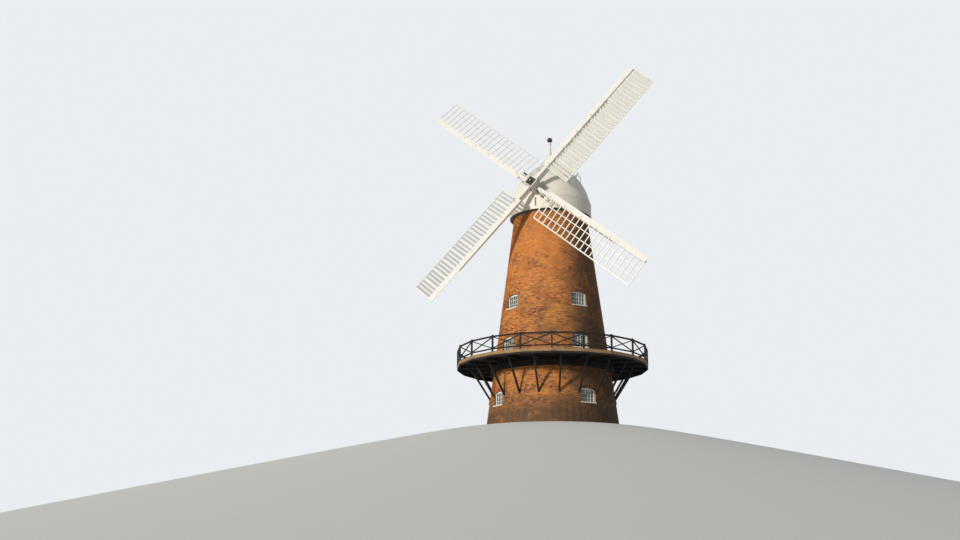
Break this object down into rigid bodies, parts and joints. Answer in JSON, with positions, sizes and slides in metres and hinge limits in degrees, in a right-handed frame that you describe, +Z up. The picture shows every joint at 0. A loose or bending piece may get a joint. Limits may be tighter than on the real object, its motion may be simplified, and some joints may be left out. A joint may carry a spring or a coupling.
{
  "type": "traditional windmill",
  "caption": "Round brick tower mill with a timber stage, a boarded turning cap, four lattice sails and a fantail.",
  "frame": {"origin": "centre of the tower at ground level, on the underside of the ground floor", "axes": "+Z up; -Y towards the side that the picture was taken from"},
  "size_m": [16.4397, 13.7362, 24.6607],
  "materials": {
    "brickwork": "matt, weathered brick in mixed orange, red and dark brown",
    "window_paint": "gloss paint",
    "window_glass": "clear",
    "door_paint": "gloss paint",
    "floor_stone": "worn",
    "floor_boards": "bare boards",
    "frame_oak": "dark weathered",
    "stage_timber": "dark paint, weathered",
    "black_paint": "gloss",
    "cast_iron": "dark painted",
    "sail_paint": "gloss paint",
    "fan_paint": "gloss paint",
    "cap_paint": "gloss paint, weathered"
  },
  "bodies": {
    "tower": {"curb": "frame_oak", "ground_door": "door_paint", "ground_floor": "floor_stone", "ground_wall_piers": "brickwork", "ground_wall_windows": "brickwork", "ground_window_frames": "window_paint", "ground_window_glass": "window_glass", "rail_posts": "stage_timber", "railing": "stage_timber", "second_floor": "floor_boards", "second_wall_piers": "brickwork", "second_wall_windows": "brickwork", "second_window_frames": "window_paint", "second_window_glass": "window_glass", "stage_deck": "stage_timber", "stage_door": "door_paint", "stage_fascia": "stage_timber", "stage_floor": "floor_boards", "stage_joists": "stage_timber", "stage_struts": "stage_timber", "stage_wall_piers": "brickwork", "stage_wall_windows": "brickwork", "stage_window_frames": "window_paint", "stage_window_glass": "window_glass", "string_course": "brickwork", "top_wall_piers": "brickwork", "top_wall_windows": "brickwork"},
    "cap": {"cap_dome": "cap_paint", "cap_hood": "cap_paint", "cap_ring": "frame_oak", "fan_posts": "fan_paint", "finial_ball": "black_paint", "finial_pole": "cap_paint", "petticoat": "cap_paint", "sheers": "frame_oak", "tail_beam": "fan_paint", "tail_bearing": "frame_oak", "weather_beam": "frame_oak"},
    "sails": {"inner_stock": "sail_paint", "outer_stock": "sail_paint", "sail_1": "sail_paint", "sail_2": "sail_paint", "sail_3": "sail_paint", "sail_4": "sail_paint", "sail_shutters": "sail_paint", "windshaft": "cast_iron"},
    "fan": {"fan_wheel": "fan_paint"}
  },
  "joints": [
    {"name": "cap_turn", "type": "hinge", "parent": "tower", "child": "cap", "pos_m": [0, 0, 14.9], "axis": [0, 0, 1], "continuous": true},
    {"name": "windshaft_turn", "type": "hinge", "parent": "cap", "child": "sails", "pos_m": [0, 0, 15.8005], "axis": [-0.3487, -0.9131, 0.2113], "continuous": true},
    {"name": "fan_turn", "type": "hinge", "parent": "cap", "child": "fan", "pos_m": [1.53397, 4.01708, 19.2005], "axis": [0.9342, -0.3567, 0], "continuous": true}
  ]
}
